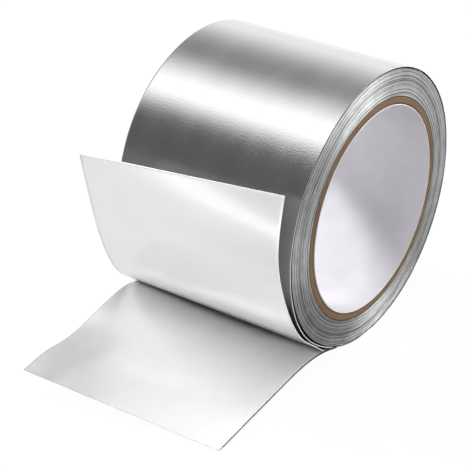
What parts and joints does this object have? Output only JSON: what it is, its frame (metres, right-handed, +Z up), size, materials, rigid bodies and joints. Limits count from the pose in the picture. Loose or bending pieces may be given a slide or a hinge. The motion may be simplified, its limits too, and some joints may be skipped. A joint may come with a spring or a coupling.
{
  "type": "roll of aluminium foil tape",
  "caption": "Roll of silver foil tape on a white-lined board core, lying on its side with the foil end pulled out and its white release liner peeled up beside the roll.",
  "frame": {"origin": "centre of the core's bore, halfway along the roll's axis", "axes": "+Y along the roll's axis, away from the end that shows most; +Z up; the tape unrolls towards -X"},
  "size_m": [0.1565, 0.075, 0.1046],
  "materials": {
    "foil": "satin rolled foil",
    "liner_paper": "smooth, silicone coated",
    "core_board": "matt kraft board",
    "lining_paper": "smooth coated white paper"
  },
  "bodies": {
    "root": {"foil_tape": "foil", "release_liner": "liner_paper", "core_tube": "core_board", "core_lining": "lining_paper"}
  },
  "joints": []
}
